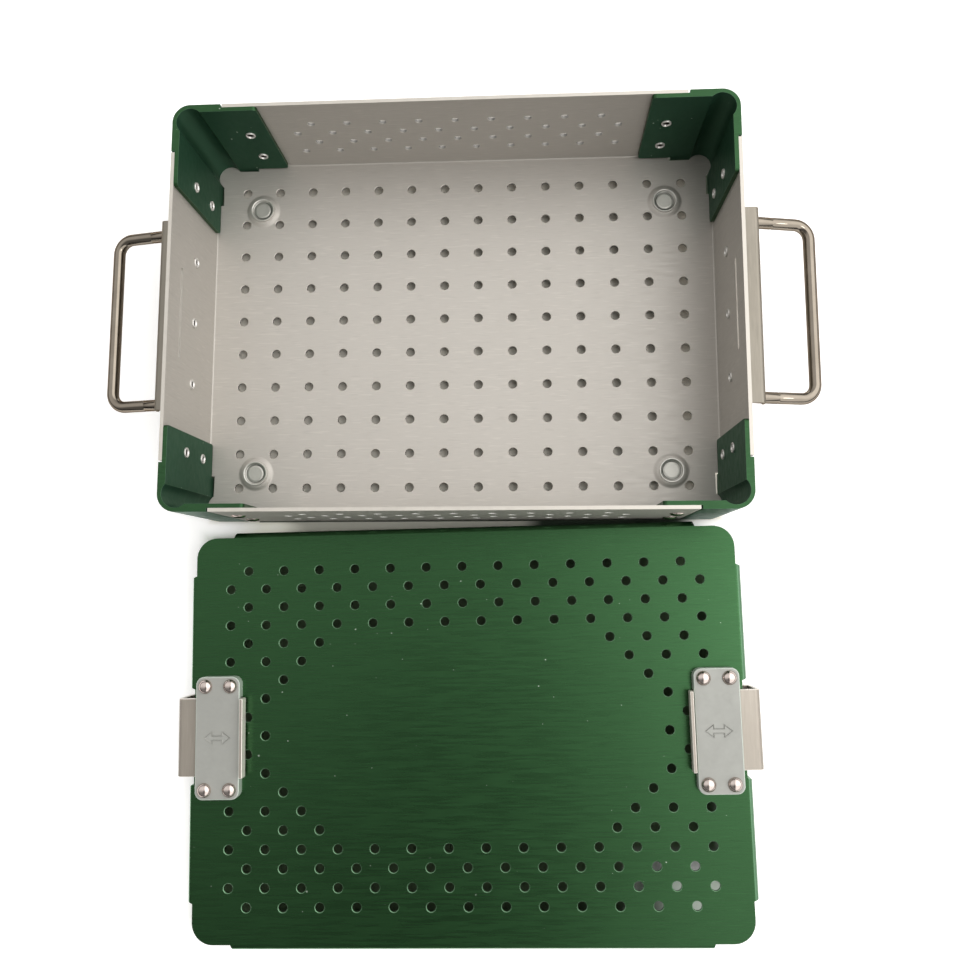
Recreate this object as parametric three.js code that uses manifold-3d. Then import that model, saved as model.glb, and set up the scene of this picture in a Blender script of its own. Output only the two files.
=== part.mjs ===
// A perforated aluminium instrument box, open, with its lid taken off and laid in front of it.
// Millimetres, +Z up. The origin is on the surface that both lie on, midway between their far ends.
import * as THREE from 'three';
import { mergeVertices } from 'three/addons/utils/BufferGeometryUtils.js';
import Module from 'manifold-3d';

const wasm = await Module();
wasm.setup();

// Folded aluminium sheet
const sheet = 1.5;
const bendInner = 0.7;
const bendOuter = bendInner + sheet;
const bendLap = 1.2;
const overrun = 1;

// Tray
const trayLength = 239.8;
const trayWidth = 174.8;
const innerDepth = 54.2;
const standHeight = 4;
const floorTop = standHeight + sheet;
const rimHeight = floorTop + innerDepth;

// Perforation: a square grid in the floor, staggered rows in the long walls and the lid
const pitch = 16;
const holesAlong = (length) => 1 + Math.floor(length / pitch);
const rowPitch = pitch / 2;
const floorHole = 2;
const floorMargin = 15;
const floorColumns = holesAlong(trayLength - 2 * floorMargin);
const floorRows = holesAlong(trayWidth - 2 * floorMargin);
const wallHole = 1.6;
const wallRows = 4;
const wallRowTop = 38;
const wallMargin = 11;

// Tubular rivets
const rivetShank = 1.6;
const rivetClearance = 0.3;
const rivetHead = 3.2;
const rivetHeadHeight = 1.1;
const rivetFlare = 2.5;
const rivetFlareHeight = 1;
const rivetBore = 1.5;
const rivetInset = 27.4;
const rivetLevels = [14, 33.5];
const rivetDomeShares = [0.72, 0.7];

// Corner posts: a head flush with the walls' outside, and a wing behind each wall
const postRadius = 7.5;
const grooveRadius = 5.8;
const wingThickness = 1.8;
const wingReach = 36;
const wingCorner = 1.6;
const headReach = 20.5;
const headGap = 0.7;
const postInner = sheet + wingThickness;
const wingLift = 1.1;
const wallColumns = holesAlong(trayLength - 2 * (wingReach + wallMargin));

// Floor lobes in the grooves of the posts, and the slits beside them
const grooveGap = 0.3;
const slitGap = 1;

// Slot in each end wall for the hook of a latch
const slotLength = 40;
const slotWidth = 2.2;
const slotHeight = 41;

// Handle brackets on the end walls
const bracketSheet = 1.2;
const bracketBend = 0.8;
const bracketLength = 84.6;
const bracketHeight = 28;
const bracketBase = 11.5;
const bracketDepth = 9.6;
const bracketRivetPitch = 28;
const bracketRivetHeight = 14;

// Handles, bent from round wire and hinged in the knuckles of the brackets
const wireRadius = 2.5;
const wireSides = 8;
const wireGap = 0.3;
const knuckleWall = 1.2;
const knuckleWidth = 4.5;
const knuckleSeat = 0.1;
const pivotHeight = 32.5;
const pivotInset = bracketSheet + knuckleSeat + wireGap + wireRadius;
const handleReach = 30.3;
const handleBend = 6.5;
const stubBend = 4;
const stubLength = 10;
const handleDroop = 12;
const armInset = 3.8;
const armOffset = bracketLength / 2 - armInset;

// Feet, each clinched into a pressed boss between four holes of the floor, a little nearer to the front two
const footShift = 1.2;
const footRadius = 5.6;
const footEdge = 0.6;
const footNeck = 3.6;
const footRing = 5.5;
const footRingEdge = 0.3;
const footRecess = 4.3;
const footRecessSlope = 0.3;
const footRingHeight = 1;
const footRecessDepth = 0.8;
const bossBase = 8.2;
const bossTop = 6.6;
const bossRise = 1;

// Lid, whose flanges fit outside the walls
const lidFit = 0.5;
const lidHeight = 16;
const lidCorner = 9.2;
const lidHole = 2;
const flangeInset = 16.9;
const latchGap = 20.4;
const flangeChamfer = 1.1;
const lidFlangeX = trayLength / 2 + lidFit + sheet;
const lidFlangeY = trayWidth / 2 + lidFit + sheet;
const lidHalfX = lidFlangeX - bendOuter;
const lidHalfY = lidFlangeY - bendOuter;
const longFlange = lidHalfX - flangeInset;
const endFlange = lidHalfY - flangeInset;
const lidMargin = 15;
const lidColumns = 2 * Math.floor((lidHalfX - lidMargin) / rowPitch);
const lidRows = 2 * Math.floor((lidHalfY - lidMargin) / rowPitch);
const lidFullRows = 4;
const lidDiagonalRows = 2;
const lidDiagonalReach = 6;
const lidCentreRow = lidRows / 2;
const besideLatchColumns = [3, 2, 1, 2];

// The lid lies in front of the tray, a little turned, just clear of the rivet heads
const lidTurn = THREE.MathUtils.degToRad(1.25);
const lidShift = 2.8;
const lidClearance = 0.46;
const flangeCut = (flangeChamfer * bendOuter) / (bendOuter + overrun);
const cornerSwing = longFlange * Math.sin(lidTurn);
const lidDistance = trayWidth / 2 + rivetHeadHeight + lidClearance + cornerSwing + lidFlangeY;
const lidFarEnd = lidDistance + lidFlangeY * Math.cos(lidTurn) + (longFlange - flangeCut) * Math.sin(lidTurn);
const trayBackEnd = trayWidth / 2 + rivetHeadHeight;
const wholeMiddle = (trayBackEnd - lidFarEnd) / 2;

// Latches: a hook that slides between two spacers, under a bridge plate
const bridgeInset = 11.7;
const bridgeCentre = lidHalfX - bridgeInset;
const bridgeWidth = 19.5;
const bridgeLength = 52.4;
const bridgeCorner = 3.5;
const bridgeSheet = 2;
const spacerHeight = 2.4;
const spacerGap = 0.4;
const bridgeRivetX = 5.5;
const bridgeRivetY = 22;
const bridgeHeadHeight = 2;
const sliderWidth = 33.6;
const sliderSheet = 1.5;
const sliderBend = 0.7;
const sliderTravel = 4.8;
const sliderReach = lidFlangeX + sliderTravel;
const tabHeight = 7;
const tabGap = 0.6;
const hookReach = 3.6;

// Facets
const holeSides = 5;
const rivetSides = 6;
const roundSides = 10;
const bendSteps = 3;
const quarterTurn = Math.PI / 2;

const looks = {
  aluminium: new THREE.MeshStandardMaterial({ color: 0xbdb6ae, roughness: 0.42, metalness: 0.9 }),
  green: new THREE.MeshStandardMaterial({ color: 0x2c5a38, roughness: 0.4, metalness: 0.75 }),
  steel: new THREE.MeshStandardMaterial({ color: 0xb3a89c, roughness: 0.25, metalness: 1 }),
  polished: new THREE.MeshStandardMaterial({ color: 0xd0c4bc, roughness: 0.15, metalness: 1 }),
  plate: new THREE.MeshStandardMaterial({ color: 0xa9aaa4, roughness: 0.5, metalness: 0.8 }),
};

const box = new THREE.Group();
box.name = 'perforated_box';
const tray = addGroup(box, 0, -wholeMiddle, 0);

function addPiece(parent, name, geometry, material) {
  const piece = new THREE.Mesh(geometry, material);
  piece.name = name;
  parent.add(piece);
  return piece;
}

function addGroup(parent, x, y, turn) {
  const group = new THREE.Group();
  group.position.set(x, y, 0);
  group.rotation.z = turn;
  parent.add(group);
  return group;
}

// Closed geometry with shared corners and without collapsed triangles
function weld(geometry) {
  const bare = geometry.clone();
  bare.deleteAttribute('normal');
  bare.deleteAttribute('uv');
  const joined = mergeVertices(bare);
  const index = joined.index.array;
  const kept = [];
  for (let i = 0; i < index.length; i += 3) {
    const [a, b, c] = [index[i], index[i + 1], index[i + 2]];
    if (a !== b && b !== c && c !== a) kept.push(a, b, c);
  }
  joined.setIndex(kept);
  return joined;
}

function toSolid(geometry) {
  const closed = weld(geometry);
  return new wasm.Manifold(new wasm.Mesh({
    numProp: 3,
    vertProperties: new Float32Array(closed.attributes.position.array),
    triVerts: new Uint32Array(closed.index.array),
  }));
}

function toGeometry(solid) {
  const mesh = solid.getMesh();
  const geometry = new THREE.BufferGeometry();
  geometry.setAttribute('position', new THREE.BufferAttribute(new Float32Array(mesh.vertProperties), 3));
  geometry.setIndex(new THREE.BufferAttribute(new Uint32Array(mesh.triVerts), 1));
  return geometry;
}

function joinAll(geometries) {
  return geometries.map(toSolid).reduce((whole, next) => whole.add(next));
}

function cutAll(solid, geometries) {
  return geometries.map(toSolid).reduce((whole, next) => whole.subtract(next), solid);
}

// Outlines
function ringPath(x, y, radius, sides = rivetSides) {
  const path = new THREE.Path();
  for (let i = 0; i < sides; i++) {
    const angle = (2 * Math.PI * (i + 0.5)) / sides;
    const point = [x + radius * Math.cos(angle), y + radius * Math.sin(angle)];
    if (i === 0) path.moveTo(...point);
    else path.lineTo(...point);
  }
  path.closePath();
  return path;
}

// A hole whose facets enclose the area of its circle
function holePath(x, y, radius) {
  const wedge = (2 * Math.PI) / holeSides;
  return ringPath(x, y, radius * Math.sqrt(wedge / Math.sin(wedge)), holeSides);
}

function slotPath(x, y, length, width) {
  const radius = width / 2;
  const straight = length / 2 - radius;
  const path = new THREE.Path();
  path.moveTo(x - straight, y - radius);
  path.absarc(x + straight, y, radius, -quarterTurn, quarterTurn, false);
  path.absarc(x - straight, y, radius, quarterTurn, 3 * quarterTurn, false);
  path.closePath();
  return path;
}

function roundedRectangle(halfX, halfY, radius) {
  const shape = new THREE.Shape();
  shape.moveTo(halfX, radius - halfY);
  shape.absarc(halfX - radius, halfY - radius, radius, 0, quarterTurn, false);
  shape.absarc(radius - halfX, halfY - radius, radius, quarterTurn, 2 * quarterTurn, false);
  shape.absarc(radius - halfX, radius - halfY, radius, 2 * quarterTurn, 3 * quarterTurn, false);
  shape.absarc(halfX - radius, radius - halfY, radius, 3 * quarterTurn, 4 * quarterTurn, false);
  return shape;
}

// Points of a line that is rounded at its inner corners, each with its direction
function roundCorners(corners, radii) {
  const stations = [];
  const last = corners.length - 1;
  for (let i = 0; i <= last; i++) {
    const from = corners[Math.max(i - 1, 0)];
    const to = corners[Math.min(i + 1, last)];
    const into = corners[i].clone().sub(from).normalize();
    const out = to.clone().sub(corners[i]).normalize();
    if (i === 0 || i === last) {
      stations.push({ point: corners[i], tangent: i === 0 ? out : into });
      continue;
    }
    const turn = into.angleTo(out);
    const toCentre = out.clone().sub(into).normalize();
    const centre = corners[i].clone().addScaledVector(toCentre, radii[i - 1] / Math.cos(turn / 2));
    for (let step = 0; step <= bendSteps; step++) {
      const angle = turn * (step / bendSteps - 0.5);
      const along = into.clone().add(out).normalize();
      const tangent = along.clone().multiplyScalar(Math.cos(angle)).addScaledVector(toCentre, Math.sin(angle));
      const spoke = toCentre.clone().multiplyScalar(-Math.cos(angle)).addScaledVector(along, Math.sin(angle));
      stations.push({ point: centre.clone().addScaledVector(spoke, radii[i - 1]), tangent });
    }
  }
  return stations;
}

// Cross-section of a folded strip, from the corners of its middle line
function foldedStrip(corners, thickness, inner) {
  const middle = corners.map(([x, y]) => new THREE.Vector3(x, y, 0));
  const stations = roundCorners(middle, corners.map(() => inner + thickness / 2));
  const side = (sign) => stations.map(({ point, tangent }) => new THREE.Vector2(
    point.x - (sign * tangent.y * thickness) / 2,
    point.y + (sign * tangent.x * thickness) / 2,
  ));
  return new THREE.Shape([...side(-1), ...side(1).reverse()]);
}

// Solids
function extrude(shape, depth) {
  return new THREE.ExtrudeGeometry(shape, { depth, bevelEnabled: false, curveSegments: bendSteps });
}

// A plate drawn in Y and Z, its depth along +X
function standingPlate(shape, depth) {
  return extrude(shape, depth).rotateX(quarterTurn).rotateZ(quarterTurn);
}

// A section drawn in X and Z, centred along Y
function longSection(shape, length) {
  return extrude(shape, length).rotateX(quarterTurn).translate(0, length / 2, 0);
}

function lathe(profile, sides) {
  const points = profile.map(([r, z]) => new THREE.Vector2(r, z));
  return new THREE.LatheGeometry(points, sides).rotateX(quarterTurn);
}

class BentRod extends THREE.Curve {
  constructor(corners, radii) {
    super();
    this.stations = roundCorners(corners, radii);
  }

  station(share) {
    return this.stations[Math.round(share * (this.stations.length - 1))];
  }

  getPointAt(share) {
    return this.station(share).point.clone();
  }

  getTangentAt(share) {
    return this.station(share).tangent.clone();
  }
}

function rodAlong(corners, radii, radius, sides) {
  const rod = new BentRod(corners, radii);
  const section = new THREE.Shape(ringPath(0, 0, radius, sides).getPoints());
  return new THREE.ExtrudeGeometry(section, {
    steps: rod.stations.length - 1, extrudePath: rod, bevelEnabled: false,
  });
}

// A tubular rivet: head above Z = 0, shank down through the grip, flared tail below
function rivetGeometry(grip, headHeight) {
  return lathe([
    [0, -grip],
    [rivetBore, -grip - rivetFlareHeight],
    [rivetFlare, -grip],
    [rivetShank, -grip],
    [rivetShank, 0],
    [rivetHead, 0],
    [rivetHead * rivetDomeShares[0], headHeight * rivetDomeShares[1]],
    [0, headHeight],
  ], rivetSides);
}

// The four sides, each as the turn that brings +X to its outward direction
const halfX = trayLength / 2;
const halfY = trayWidth / 2;
const walls = [
  { turn: 0, half: halfX, span: trayWidth, end: true },
  { turn: quarterTurn, half: halfY, span: trayLength, end: false },
  { turn: 2 * quarterTurn, half: halfX, span: trayWidth, end: true },
  { turn: 3 * quarterTurn, half: halfY, span: trayLength, end: false },
];

// The four corners, each as the turn of a frame whose X and Y run inwards along the walls
const trayCorners = [
  { name: 'front_left', x: -halfX, y: -halfY, turn: 0 },
  { name: 'front_right', x: halfX, y: -halfY, turn: quarterTurn },
  { name: 'back_right', x: halfX, y: halfY, turn: 2 * quarterTurn },
  { name: 'back_left', x: -halfX, y: halfY, turn: 3 * quarterTurn },
];

const feet = trayCorners.map(({ name, x, y }) => ({
  name: `foot_${name}`,
  x: (Math.sign(x) * (floorColumns - 2) * pitch) / 2,
  y: (Math.sign(y) * (floorRows - 2) * pitch) / 2 - footShift,
}));

function perforate(shape, columns, rows, radius) {
  for (let column = 0; column < columns; column++) {
    for (let row = 0; row < rows; row++) {
      const x = (column - (columns - 1) / 2) * pitch;
      const y = (row - (rows - 1) / 2) * pitch;
      shape.holes.push(holePath(x, y, radius));
    }
  }
}

// Floor outline: fold lines between the posts, slits beside the post heads, a lobe in each groove
function floorOutline() {
  const fold = headReach + headGap;
  const edge = postInner + slitGap;
  const lobe = grooveRadius - grooveGap;
  const toEdge = postRadius - edge;
  const lobeEnd = Math.sqrt(lobe ** 2 - toEdge ** 2);
  const spread = Math.atan2(lobeEnd, toEdge);
  const shape = new THREE.Shape();
  trayCorners.forEach(({ x, y, turn }, i) => {
    const place = (a, b) => {
      const point = new THREE.Vector2(a, b).rotateAround(new THREE.Vector2(), turn);
      return [x + point.x, y + point.y];
    };
    const start = place(bendOuter, fold);
    if (i === 0) shape.moveTo(...start);
    else shape.lineTo(...start);
    shape.lineTo(...place(edge, fold));
    shape.lineTo(...place(edge, postRadius + lobeEnd));
    const centre = place(postRadius, postRadius);
    const first = 2 * quarterTurn - spread + turn;
    const last = 3 * quarterTurn + spread + turn;
    shape.absarc(...centre, lobe, first, last, false);
    shape.lineTo(...place(fold, edge));
    shape.lineTo(...place(fold, bendOuter));
  });
  return shape;
}

function wallPlate({ span, end }) {
  const half = span / 2 - headReach - headGap;
  const low = standHeight + bendOuter;
  const shape = new THREE.Shape([
    new THREE.Vector2(-half, low),
    new THREE.Vector2(half, low),
    new THREE.Vector2(half, rimHeight),
    new THREE.Vector2(-half, rimHeight),
  ]);
  const rivetHole = rivetShank + rivetClearance;
  for (const level of rivetLevels) {
    for (const side of [-1, 1]) {
      shape.holes.push(ringPath(side * (span / 2 - rivetInset), floorTop + level, rivetHole));
    }
  }
  if (end) {
    shape.holes.push(slotPath(0, floorTop + slotHeight, slotLength, slotWidth));
    for (const place of [-1, 0, 1]) {
      const z = floorTop + bracketBase + bracketRivetHeight;
      shape.holes.push(ringPath(place * bracketRivetPitch, z, rivetHole));
    }
    return standingPlate(shape, sheet);
  }
  for (let row = 0; row < wallRows; row++) {
    const count = wallColumns - 1 + (row % 2);
    for (let i = 0; i < count; i++) {
      const x = (i - (count - 1) / 2) * pitch;
      shape.holes.push(holePath(x, floorTop + wallRowTop - row * rowPitch, wallHole));
    }
  }
  return standingPlate(shape, sheet);
}

function trayFold({ span }) {
  const strip = foldedStrip([
    [-bendOuter - bendLap, sheet / 2],
    [-sheet / 2, sheet / 2],
    [-sheet / 2, bendOuter + bendLap],
  ], sheet, bendInner);
  return longSection(strip, span - 2 * (headReach + headGap)).translate(0, 0, standHeight);
}

function buildTray() {
  const outline = floorOutline();
  perforate(outline, floorColumns, floorRows, floorHole);
  const pieces = [extrude(outline, sheet).translate(0, 0, standHeight)];
  for (const wall of walls) {
    pieces.push(wallPlate(wall).translate(wall.half - sheet, 0, 0).rotateZ(wall.turn));
    pieces.push(trayFold(wall).translate(wall.half, 0, 0).rotateZ(wall.turn));
  }
  const middle = standHeight + sheet / 2;
  const boss = [[0, middle], [bossBase, middle], [bossBase, floorTop], [bossTop, floorTop + bossRise],
    [0, floorTop + bossRise]];
  const slope = bossBase - bossTop;
  const hollow = [[0, standHeight - overrun], [bossBase - slope / 2, standHeight - overrun],
    [bossBase - slope / 2, standHeight], [bossTop - slope / 2, standHeight + bossRise],
    [0, standHeight + bossRise]];
  const neckHole = footNeck + rivetClearance;
  const bore = [[0, standHeight], [neckHole, standHeight], [neckHole, rimHeight], [0, rimHeight]];
  for (const { x, y } of feet) pieces.push(lathe(boss, roundSides).translate(x, y, 0));
  const cuts = feet.flatMap(({ x, y }) => [
    lathe(hollow, roundSides).translate(x, y, 0),
    lathe(bore, roundSides).translate(x, y, 0),
  ]);
  addPiece(tray, 'tray_body', toGeometry(cutAll(joinAll(pieces), cuts)), looks.aluminium);
}

function buildFeet() {
  const seat = standHeight + bossRise;
  const top = seat + sheet;
  const profile = [
    [0, 0],
    [footRadius - footEdge, 0],
    [footRadius, footEdge],
    [footRadius, seat],
    [footNeck, seat],
    [footNeck, top],
    [footRing, top],
    [footRing - footRingEdge, top + footRingHeight],
    [footRecess, top + footRingHeight],
    [footRecess - footRecessSlope, top + footRingHeight - footRecessDepth],
    [0, top + footRingHeight - footRecessDepth],
  ];
  for (const { name, x, y } of feet) {
    addPiece(tray, name, lathe(profile, roundSides), looks.aluminium).position.set(x, y, 0);
  }
}

function postHead() {
  const toInner = postRadius - postInner;
  const cusp = Math.sqrt(grooveRadius ** 2 - toInner ** 2);
  const spread = Math.atan2(cusp, toInner);
  const shape = new THREE.Shape();
  shape.moveTo(postInner, headReach);
  shape.lineTo(0, headReach);
  shape.absarc(postRadius, postRadius, postRadius, 2 * quarterTurn, 3 * quarterTurn, false);
  shape.lineTo(headReach, 0);
  shape.lineTo(headReach, postInner);
  shape.absarc(postRadius, postRadius, grooveRadius, 3 * quarterTurn + spread, 2 * quarterTurn - spread, true);
  return extrude(shape, rimHeight - standHeight).translate(0, 0, standHeight);
}

function wingShape() {
  const low = floorTop + wingLift;
  const start = headReach - overrun;
  const shape = new THREE.Shape();
  shape.moveTo(start, rimHeight);
  shape.lineTo(start, low);
  shape.absarc(wingReach - wingCorner, low + wingCorner, wingCorner, -quarterTurn, 0, false);
  shape.absarc(wingReach - wingCorner, rimHeight - wingCorner, wingCorner, 0, quarterTurn, false);
  for (const level of rivetLevels) {
    shape.holes.push(ringPath(rivetInset, floorTop + level, rivetShank + rivetClearance));
  }
  return shape;
}

function buildPosts() {
  const longWing = extrude(wingShape(), wingThickness).rotateX(quarterTurn).translate(0, postInner, 0);
  const endWing = standingPlate(wingShape(), wingThickness).translate(sheet, 0, 0);
  const post = toGeometry(joinAll([postHead(), longWing, endWing]));
  const rivet = rivetGeometry(postInner, rivetHeadHeight);
  for (const { name, x, y, turn } of trayCorners) {
    const corner = addGroup(tray, x, y, turn);
    addPiece(corner, `corner_post_${name}`, post, looks.green);
    rivetLevels.forEach((level, i) => {
      const long = addPiece(corner, `post_rivet_${name}_${2 * i + 1}`, rivet, looks.polished);
      long.position.set(rivetInset, 0, floorTop + level);
      long.rotation.x = quarterTurn;
      const end = addPiece(corner, `post_rivet_${name}_${2 * i + 2}`, rivet, looks.polished);
      end.position.set(0, rivetInset, floorTop + level);
      end.rotation.set(quarterTurn, 0, -quarterTurn, 'ZYX');
    });
  }
}

// A bracket in a frame whose X is outwards from the wall's face and whose Z starts at its lower edge
function bracketGeometry() {
  const lip = pivotHeight + wireRadius + wireGap - bracketBase;
  const strip = foldedStrip([
    [bracketSheet / 2, 0],
    [bracketSheet / 2, bracketHeight - bracketSheet / 2],
    [bracketDepth - bracketSheet / 2, bracketHeight - bracketSheet / 2],
    [bracketDepth - bracketSheet / 2, lip],
  ], bracketSheet, bracketBend);
  const bore = wireRadius + wireGap;
  const pivot = pivotHeight - bracketBase;
  const knuckleAt = armOffset - stubBend - wireGap - knuckleWidth / 2;
  const pieces = [longSection(strip, bracketLength)];
  const cuts = [];
  for (const side of [-1, 1]) {
    const knuckle = new THREE.Shape(ringPath(pivotInset, pivot, bore + knuckleWall, roundSides).getPoints());
    const hole = new THREE.Shape(ringPath(pivotInset, pivot, bore, roundSides).getPoints());
    const rivet = ringPath(side * bracketRivetPitch, bracketRivetHeight, rivetShank + rivetClearance);
    pieces.push(longSection(knuckle, knuckleWidth).translate(0, side * knuckleAt, 0));
    cuts.push(longSection(hole, knuckleWidth + overrun).translate(0, side * knuckleAt, 0));
    cuts.push(standingPlate(new THREE.Shape(rivet.getPoints()), bracketDepth).translate(-overrun, 0, 0));
  }
  const middle = ringPath(0, bracketRivetHeight, rivetShank + rivetClearance);
  cuts.push(standingPlate(new THREE.Shape(middle.getPoints()), bracketDepth).translate(-overrun, 0, 0));
  return toGeometry(cutAll(joinAll(pieces), cuts));
}

// A handle in a frame whose Y is the hinge axis and whose X is outwards
function handleGeometry() {
  const stubEnd = armOffset - stubLength;
  const line = [
    [0, -stubEnd],
    [0, -armOffset],
    [handleReach, -armOffset],
    [handleReach, armOffset],
    [0, armOffset],
    [0, stubEnd],
  ].map(([x, y]) => new THREE.Vector3(x, y, 0));
  return rodAlong(line, [stubBend, handleBend, handleBend, stubBend], wireRadius, wireSides);
}

function buildHandles() {
  const bracket = bracketGeometry();
  const handle = handleGeometry();
  const rivet = rivetGeometry(sheet + bracketSheet, rivetHeadHeight);
  const base = floorTop + bracketBase;
  for (const [side, turn] of [['left', 2 * quarterTurn], ['right', 0]]) {
    const end = addGroup(tray, 0, 0, turn);
    addPiece(end, `handle_bracket_${side}`, bracket, looks.steel).position.set(halfX, 0, base);
    [-1, 0, 1].forEach((place, i) => {
      const piece = addPiece(end, `bracket_rivet_${side}_${i + 1}`, rivet, looks.polished);
      piece.position.set(halfX + bracketSheet, place * bracketRivetPitch, base + bracketRivetHeight);
      piece.rotation.set(quarterTurn, 0, quarterTurn, 'ZYX');
    });
    const swung = addPiece(end, `handle_${side}`, handle, looks.steel);
    swung.position.set(halfX + pivotInset, 0, floorTop + pivotHeight);
    swung.rotation.y = THREE.MathUtils.degToRad(handleDroop);
  }
}

function perforateLid(shape) {
  const place = (column, row) => [((column - lidColumns / 2) * pitch) / 2, (lidCentreRow - row) * rowPitch];
  for (let row = 0; row <= lidRows; row++) {
    const inwards = Math.min(row, lidRows - row);
    for (let column = 0; column <= lidColumns; column++) {
      if ((row + column) % 2 === 0) continue;
      const fromEnd = Math.min(column, lidColumns - column);
      const diagonal = inwards - lidFullRows;
      const full = diagonal < 0;
      const slanted = diagonal >= 0 && diagonal < lidDiagonalRows && fromEnd < lidDiagonalReach - diagonal;
      const beside = diagonal >= lidDiagonalRows && fromEnd === besideLatchColumns[diagonal - lidDiagonalRows];
      if (full || slanted || beside) shape.holes.push(holePath(...place(column, row), lidHole));
    }
  }
}

function lidFlange(from, to, half) {
  const strip = foldedStrip([
    [-bendOuter - bendLap, -sheet / 2],
    [-sheet / 2, -sheet / 2],
    [-sheet / 2, -lidHeight],
  ], sheet, bendInner);
  const flange = toSolid(longSection(strip, to - from).translate(half, (from + to) / 2, lidHeight));
  const wedge = (end, sign) => {
    const shape = new THREE.Shape([
      [half - bendOuter, end],
      [half + overrun, end - sign * flangeChamfer],
      [half + overrun, end + sign * overrun],
      [half - bendOuter, end + sign * overrun],
    ].map(([x, y]) => new THREE.Vector2(x, y)));
    return extrude(shape, lidHeight + 2 * overrun).translate(0, 0, -overrun);
  };
  return toGeometry(cutAll(flange, [wedge(from, -1), wedge(to, 1)]));
}

function buildLidPanel(lid) {
  const panel = roundedRectangle(lidHalfX, lidHalfY, lidCorner);
  perforateLid(panel);
  for (const side of [-1, 1]) {
    for (const x of [-bridgeRivetX, bridgeRivetX]) {
      for (const y of [-bridgeRivetY, bridgeRivetY]) {
        panel.holes.push(ringPath(side * bridgeCentre + x, y, rivetShank + rivetClearance));
      }
    }
  }
  const pieces = [extrude(panel, sheet).translate(0, 0, lidHeight - sheet)];
  for (const turn of [0, 2 * quarterTurn]) {
    pieces.push(lidFlange(latchGap, endFlange, lidFlangeX).rotateZ(turn));
    pieces.push(lidFlange(-endFlange, -latchGap, lidFlangeX).rotateZ(turn));
    pieces.push(lidFlange(-longFlange, longFlange, lidFlangeY).rotateZ(turn + quarterTurn));
  }
  addPiece(lid, 'lid_panel', toGeometry(joinAll(pieces)), looks.green);
}

function bridgeRivetHoles(shape, rows) {
  for (const x of [-bridgeRivetX, bridgeRivetX]) {
    for (const y of rows) shape.holes.push(ringPath(x, y, rivetShank + rivetClearance));
  }
}

function spacerShape() {
  const half = bridgeWidth / 2;
  const near = sliderWidth / 2 + spacerGap;
  const far = bridgeLength / 2;
  const shape = new THREE.Shape();
  shape.moveTo(-half, near);
  shape.lineTo(half, near);
  shape.absarc(half - bridgeCorner, far - bridgeCorner, bridgeCorner, 0, quarterTurn, false);
  shape.absarc(bridgeCorner - half, far - bridgeCorner, bridgeCorner, quarterTurn, 2 * quarterTurn, false);
  bridgeRivetHoles(shape, [bridgeRivetY]);
  return shape;
}

// The slider in a frame on the lid's top face, its hook outwards along X
function sliderGeometry() {
  const tab = bridgeCentre - bridgeWidth / 2 - tabGap - sliderSheet / 2;
  const leg = sliderReach - sliderSheet / 2;
  const level = spacerHeight / 2;
  const hook = slotHeight - innerDepth - sheet;
  const tip = sliderReach - sliderSheet - hookReach;
  const strip = foldedStrip([[tab, tabHeight], [tab, level], [leg, level], [leg, hook], [tip, hook]],
    sliderSheet, sliderBend);
  return longSection(strip, sliderWidth);
}

function buildLatches(lid) {
  const bridge = roundedRectangle(bridgeWidth / 2, bridgeLength / 2, bridgeCorner);
  bridgeRivetHoles(bridge, [-bridgeRivetY, bridgeRivetY]);
  const bridgePlate = extrude(bridge, bridgeSheet);
  const spacer = extrude(spacerShape(), spacerHeight);
  const slider = sliderGeometry();
  const rivet = rivetGeometry(sheet + spacerHeight + bridgeSheet, bridgeHeadHeight);
  for (const [side, turn] of [['left', 2 * quarterTurn], ['right', 0]]) {
    const latch = addGroup(lid, 0, 0, turn);
    const top = lidHeight + spacerHeight;
    addPiece(latch, `bridge_plate_${side}`, bridgePlate, looks.plate).position.set(bridgeCentre, 0, top);
    for (const [i, half] of [0, 2 * quarterTurn].entries()) {
      const block = addPiece(latch, `bridge_spacer_${side}_${i + 1}`, spacer, looks.plate);
      block.position.set(bridgeCentre, 0, lidHeight);
      block.rotation.z = half;
    }
    [[-1, -1], [1, -1], [-1, 1], [1, 1]].forEach(([x, y], i) => {
      const piece = addPiece(latch, `bridge_rivet_${side}_${i + 1}`, rivet, looks.polished);
      piece.position.set(bridgeCentre + x * bridgeRivetX, y * bridgeRivetY, top + bridgeSheet);
    });
    addPiece(latch, `latch_slider_${side}`, slider, looks.steel).position.set(0, 0, lidHeight);
  }
}

buildTray();
buildFeet();
buildPosts();
buildHandles();
const lid = addGroup(box, lidShift, -lidDistance - wholeMiddle, lidTurn);
buildLidPanel(lid);
buildLatches(lid);

export default box;
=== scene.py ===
# Perforated aluminium instrument box, open, with its green lid lying in front of it.
# Millimetres and degrees in the pieces' dictionaries; metres for the studio and the finished pieces.
from math import asin, atan2, copysign, cos, degrees, pi, radians, sin, sqrt

import bmesh
import bpy
from mathutils import Matrix, Vector


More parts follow.
